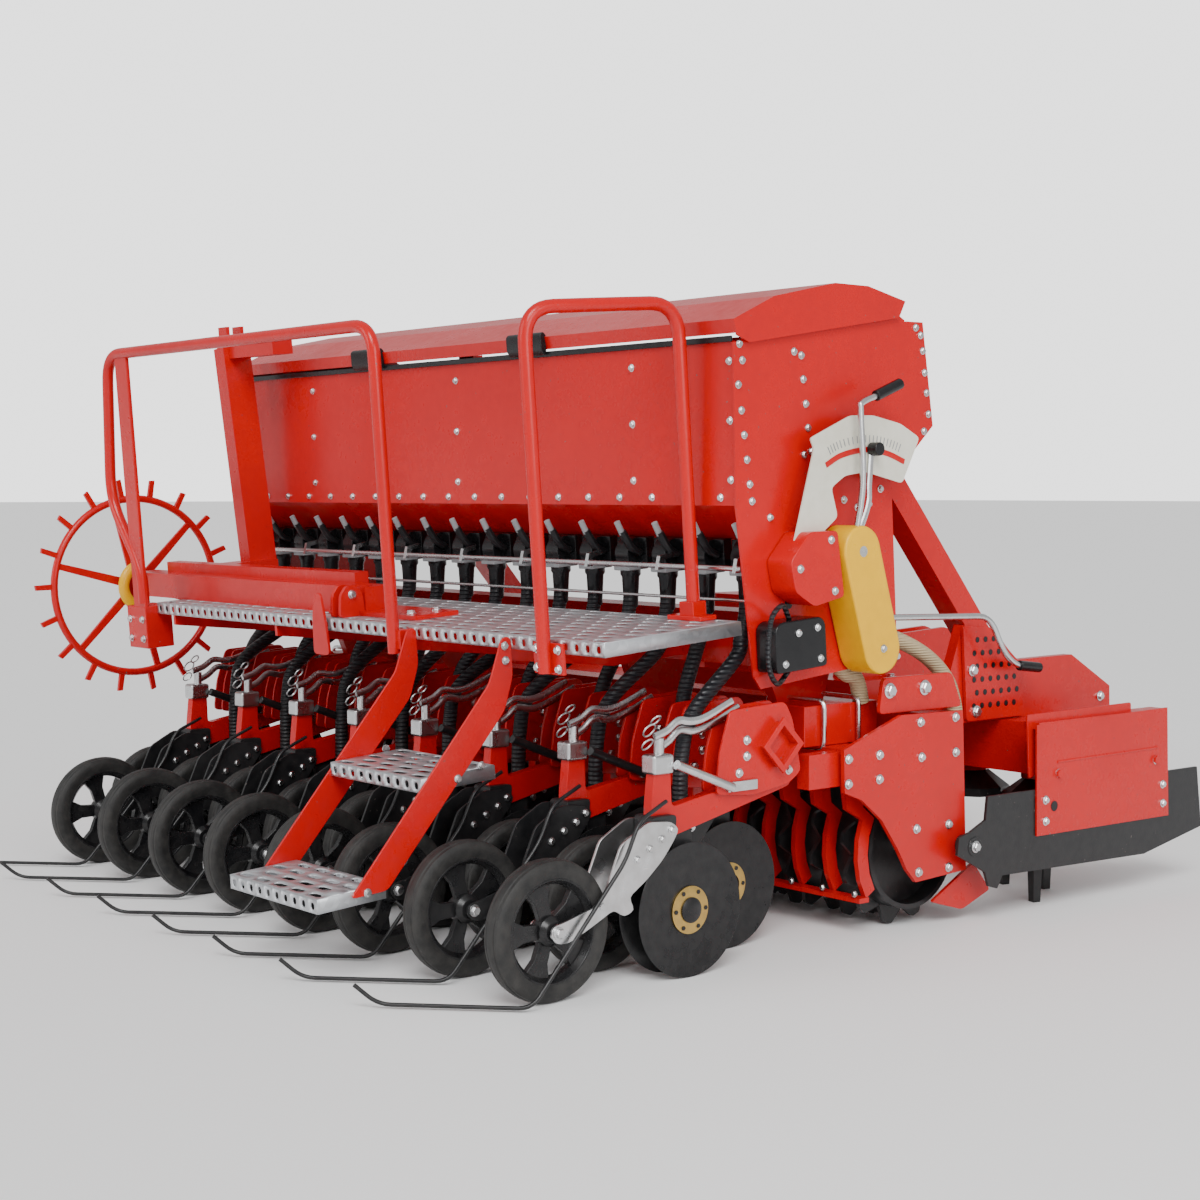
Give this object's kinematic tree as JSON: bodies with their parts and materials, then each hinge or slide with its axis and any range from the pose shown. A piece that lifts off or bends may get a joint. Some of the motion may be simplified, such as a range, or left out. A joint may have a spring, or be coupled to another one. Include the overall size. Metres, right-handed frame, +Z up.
{
  "type": "seed drill",
  "caption": "Mounted seed drill with a long seed box, disc coulters, press wheels and covering tines, carried on a powered rotary harrow with a toothed packer roller.",
  "frame": {"origin": "on the ground, under the middle of the whole outline", "axes": "+Y forward, towards the tractor; +X to the machine's right; +Z up"},
  "size_m": [2.7066, 2.6978, 1.6462],
  "materials": {
    "red_paint": "gloss",
    "black_steel": "satin",
    "black_rubber": "matt",
    "bright_steel": "bright",
    "galvanised": "galvanised",
    "yellow_guard": "satin"
  },
  "bodies": {
    "frame": {"coulter_frame": "red_paint", "hopper": "red_paint", "drill_frame": "red_paint", "metering_row": "black_steel", "walkway": "galvanised", "loading_steps": "red_paint", "handrail_right": "red_paint", "handrail_left": "red_paint", "wheel_carrier": "red_paint", "drive_side": "yellow_guard", "roller_frame": "red_paint", "harrow_beam": "red_paint", "deflector_right": "black_steel", "deflector_left": "black_steel", "scraper_row": "red_paint"},
    "wheel_01": {"press_wheel_01": "black_rubber"},
    "wheel_02": {"press_wheel_02": "black_rubber"},
    "wheel_03": {"press_wheel_03": "black_rubber"},
    "wheel_04": {"press_wheel_04": "black_rubber"},
    "wheel_05": {"press_wheel_05": "black_rubber"},
    "wheel_06": {"press_wheel_06": "black_rubber"},
    "wheel_07": {"press_wheel_07": "black_rubber"},
    "wheel_08": {"press_wheel_08": "black_rubber"},
    "wheel_09": {"press_wheel_09": "black_rubber"},
    "wheel_10": {"press_wheel_10": "black_rubber"},
    "wheel_11": {"press_wheel_11": "black_rubber"},
    "wheel_12": {"press_wheel_12": "black_rubber"},
    "wheel_13": {"press_wheel_13": "black_rubber"},
    "wheel_14": {"press_wheel_14": "black_rubber"},
    "wheel_15": {"press_wheel_15": "black_rubber"},
    "wheel_16": {"press_wheel_16": "black_rubber"},
    "disc_01": {"disc_pair_01": "bright_steel"},
    "disc_02": {"disc_pair_02": "bright_steel"},
    "disc_03": {"disc_pair_03": "bright_steel"},
    "disc_04": {"disc_pair_04": "bright_steel"},
    "disc_05": {"disc_pair_05": "bright_steel"},
    "disc_06": {"disc_pair_06": "bright_steel"},
    "disc_07": {"disc_pair_07": "bright_steel"},
    "disc_08": {"disc_pair_08": "bright_steel"},
    "disc_09": {"disc_pair_09": "bright_steel"},
    "disc_10": {"disc_pair_10": "bright_steel"},
    "disc_11": {"disc_pair_11": "bright_steel"},
    "disc_12": {"disc_pair_12": "bright_steel"},
    "disc_13": {"disc_pair_13": "bright_steel"},
    "disc_14": {"disc_pair_14": "bright_steel"},
    "disc_15": {"disc_pair_15": "bright_steel"},
    "disc_16": {"disc_pair_16": "bright_steel"},
    "rotor_set_01": {"rotor_01": "black_steel"},
    "rotor_set_02": {"rotor_02": "black_steel"},
    "rotor_set_03": {"rotor_03": "black_steel"},
    "rotor_set_04": {"rotor_04": "black_steel"},
    "rotor_set_05": {"rotor_05": "black_steel"},
    "rotor_set_06": {"rotor_06": "black_steel"},
    "rotor_set_07": {"rotor_07": "black_steel"},
    "rotor_set_08": {"rotor_08": "black_steel"},
    "rotor_set_09": {"rotor_09": "black_steel"},
    "rotor_set_10": {"rotor_10": "black_steel"},
    "packer": {"packer_roller": "black_steel"},
    "land_wheel": {"star_wheel": "red_paint"},
    "lid": {"hopper_lid": "red_paint"}
  },
  "joints": [
    {"name": "wheel_01_spin", "type": "hinge", "parent": "frame", "child": "wheel_01", "pos_m": [-1.11512, -0.715, 0.16], "axis": [1, 0, 0], "continuous": true},
    {"name": "wheel_02_spin", "type": "hinge", "parent": "frame", "child": "wheel_02", "pos_m": [-0.95888, -0.985, 0.16], "axis": [1, 0, 0], "continuous": true},
    {"name": "wheel_03_spin", "type": "hinge", "parent": "frame", "child": "wheel_03", "pos_m": [-0.80263, -0.715, 0.16], "axis": [1, 0, 0], "continuous": true},
    {"name": "wheel_04_spin", "type": "hinge", "parent": "frame", "child": "wheel_04", "pos_m": [-0.64638, -0.985, 0.16], "axis": [1, 0, 0], "continuous": true},
    {"name": "wheel_05_spin", "type": "hinge", "parent": "frame", "child": "wheel_05", "pos_m": [-0.49012, -0.715, 0.16], "axis": [1, 0, 0], "continuous": true},
    {"name": "wheel_06_spin", "type": "hinge", "parent": "frame", "child": "wheel_06", "pos_m": [-0.33387, -0.985, 0.16], "axis": [1, 0, 0], "continuous": true},
    {"name": "wheel_07_spin", "type": "hinge", "parent": "frame", "child": "wheel_07", "pos_m": [-0.17763, -0.715, 0.16], "axis": [1, 0, 0], "continuous": true},
    {"name": "wheel_08_spin", "type": "hinge", "parent": "frame", "child": "wheel_08", "pos_m": [-0.02137, -0.985, 0.16], "axis": [1, 0, 0], "continuous": true},
    {"name": "wheel_09_spin", "type": "hinge", "parent": "frame", "child": "wheel_09", "pos_m": [0.13487, -0.715, 0.16], "axis": [1, 0, 0], "continuous": true},
    {"name": "wheel_10_spin", "type": "hinge", "parent": "frame", "child": "wheel_10", "pos_m": [0.29113, -0.985, 0.16], "axis": [1, 0, 0], "continuous": true},
    {"name": "wheel_11_spin", "type": "hinge", "parent": "frame", "child": "wheel_11", "pos_m": [0.44738, -0.715, 0.16], "axis": [1, 0, 0], "continuous": true},
    {"name": "wheel_12_spin", "type": "hinge", "parent": "frame", "child": "wheel_12", "pos_m": [0.60362, -0.985, 0.16], "axis": [1, 0, 0], "continuous": true},
    {"name": "wheel_13_spin", "type": "hinge", "parent": "frame", "child": "wheel_13", "pos_m": [0.75987, -0.715, 0.16], "axis": [1, 0, 0], "continuous": true},
    {"name": "wheel_14_spin", "type": "hinge", "parent": "frame", "child": "wheel_14", "pos_m": [0.91612, -0.985, 0.16], "axis": [1, 0, 0], "continuous": true},
    {"name": "wheel_15_spin", "type": "hinge", "parent": "frame", "child": "wheel_15", "pos_m": [1.07238, -0.715, 0.16], "axis": [1, 0, 0], "continuous": true},
    {"name": "wheel_16_spin", "type": "hinge", "parent": "frame", "child": "wheel_16", "pos_m": [1.22863, -0.985, 0.16], "axis": [1, 0, 0], "continuous": true},
    {"name": "disc_01_spin", "type": "hinge", "parent": "frame", "child": "disc_01", "pos_m": [-1.11512, -0.32, 0.158], "axis": [1, 0, 0], "continuous": true},
    {"name": "disc_02_spin", "type": "hinge", "parent": "frame", "child": "disc_02", "pos_m": [-0.95888, -0.59, 0.158], "axis": [1, 0, 0], "continuous": true},
    {"name": "disc_03_spin", "type": "hinge", "parent": "frame", "child": "disc_03", "pos_m": [-0.80263, -0.32, 0.158], "axis": [1, 0, 0], "continuous": true},
    {"name": "disc_04_spin", "type": "hinge", "parent": "frame", "child": "disc_04", "pos_m": [-0.64638, -0.59, 0.158], "axis": [1, 0, 0], "continuous": true},
    {"name": "disc_05_spin", "type": "hinge", "parent": "frame", "child": "disc_05", "pos_m": [-0.49012, -0.32, 0.158], "axis": [1, 0, 0], "continuous": true},
    {"name": "disc_06_spin", "type": "hinge", "parent": "frame", "child": "disc_06", "pos_m": [-0.33387, -0.59, 0.158], "axis": [1, 0, 0], "continuous": true},
    {"name": "disc_07_spin", "type": "hinge", "parent": "frame", "child": "disc_07", "pos_m": [-0.17763, -0.32, 0.158], "axis": [1, 0, 0], "continuous": true},
    {"name": "disc_08_spin", "type": "hinge", "parent": "frame", "child": "disc_08", "pos_m": [-0.02137, -0.59, 0.158], "axis": [1, 0, 0], "continuous": true},
    {"name": "disc_09_spin", "type": "hinge", "parent": "frame", "child": "disc_09", "pos_m": [0.13487, -0.32, 0.158], "axis": [1, 0, 0], "continuous": true},
    {"name": "disc_10_spin", "type": "hinge", "parent": "frame", "child": "disc_10", "pos_m": [0.29113, -0.59, 0.158], "axis": [1, 0, 0], "continuous": true},
    {"name": "disc_11_spin", "type": "hinge", "parent": "frame", "child": "disc_11", "pos_m": [0.44738, -0.32, 0.158], "axis": [1, 0, 0], "continuous": true},
    {"name": "disc_12_spin", "type": "hinge", "parent": "frame", "child": "disc_12", "pos_m": [0.60362, -0.59, 0.158], "axis": [1, 0, 0], "continuous": true},
    {"name": "disc_13_spin", "type": "hinge", "parent": "frame", "child": "disc_13", "pos_m": [0.75987, -0.32, 0.158], "axis": [1, 0, 0], "continuous": true},
    {"name": "disc_14_spin", "type": "hinge", "parent": "frame", "child": "disc_14", "pos_m": [0.91612, -0.59, 0.158], "axis": [1, 0, 0], "continuous": true},
    {"name": "disc_15_spin", "type": "hinge", "parent": "frame", "child": "disc_15", "pos_m": [1.07238, -0.32, 0.158], "axis": [1, 0, 0], "continuous": true},
    {"name": "disc_16_spin", "type": "hinge", "parent": "frame", "child": "disc_16", "pos_m": [1.22863, -0.59, 0.158], "axis": [1, 0, 0], "continuous": true},
    {"name": "rotor_01_spin", "type": "hinge", "parent": "frame", "child": "rotor_set_01", "pos_m": [-1.06825, 0.803, 0.3], "axis": [0, 0, 1], "continuous": true},
    {"name": "rotor_02_spin", "type": "hinge", "parent": "frame", "child": "rotor_set_02", "pos_m": [-0.81825, 0.803, 0.3], "axis": [0, 0, 1], "continuous": true},
    {"name": "rotor_03_spin", "type": "hinge", "parent": "frame", "child": "rotor_set_03", "pos_m": [-0.56825, 0.803, 0.3], "axis": [0, 0, 1], "continuous": true},
    {"name": "rotor_04_spin", "type": "hinge", "parent": "frame", "child": "rotor_set_04", "pos_m": [-0.31825, 0.803, 0.3], "axis": [0, 0, 1], "continuous": true},
    {"name": "rotor_05_spin", "type": "hinge", "parent": "frame", "child": "rotor_set_05", "pos_m": [-0.06825, 0.803, 0.3], "axis": [0, 0, 1], "continuous": true},
    {"name": "rotor_06_spin", "type": "hinge", "parent": "frame", "child": "rotor_set_06", "pos_m": [0.18175, 0.803, 0.3], "axis": [0, 0, 1], "continuous": true},
    {"name": "rotor_07_spin", "type": "hinge", "parent": "frame", "child": "rotor_set_07", "pos_m": [0.43175, 0.803, 0.3], "axis": [0, 0, 1], "continuous": true},
    {"name": "rotor_08_spin", "type": "hinge", "parent": "frame", "child": "rotor_set_08", "pos_m": [0.68175, 0.803, 0.3], "axis": [0, 0, 1], "continuous": true},
    {"name": "rotor_09_spin", "type": "hinge", "parent": "frame", "child": "rotor_set_09", "pos_m": [0.93175, 0.803, 0.3], "axis": [0, 0, 1], "continuous": true},
    {"name": "rotor_10_spin", "type": "hinge", "parent": "frame", "child": "rotor_set_10", "pos_m": [1.18175, 0.803, 0.3], "axis": [0, 0, 1], "continuous": true},
    {"name": "packer_spin", "type": "hinge", "parent": "frame", "child": "packer", "pos_m": [0.05675, 0.225, 0.21], "axis": [1, 0, 0], "continuous": true},
    {"name": "land_wheel_spin", "type": "hinge", "parent": "frame", "child": "land_wheel", "pos_m": [-1.33325, -0.67692, 0.82005], "axis": [1, 0, 0], "continuous": true},
    {"name": "lid_hinge", "type": "hinge", "parent": "frame", "child": "lid", "pos_m": [0.05675, 0.19873, 1.57784], "axis": [-1, 0, 0], "range_deg": [0, 95]}
  ],
  "couplings": [
    {"joint": "rotor_02_spin", "follows": "rotor_01_spin", "ratio": -1},
    {"joint": "rotor_03_spin", "follows": "rotor_01_spin", "ratio": 1},
    {"joint": "rotor_04_spin", "follows": "rotor_01_spin", "ratio": -1},
    {"joint": "rotor_05_spin", "follows": "rotor_01_spin", "ratio": 1},
    {"joint": "rotor_06_spin", "follows": "rotor_01_spin", "ratio": -1},
    {"joint": "rotor_07_spin", "follows": "rotor_01_spin", "ratio": 1},
    {"joint": "rotor_08_spin", "follows": "rotor_01_spin", "ratio": -1},
    {"joint": "rotor_09_spin", "follows": "rotor_01_spin", "ratio": 1},
    {"joint": "rotor_10_spin", "follows": "rotor_01_spin", "ratio": -1}
  ]
}
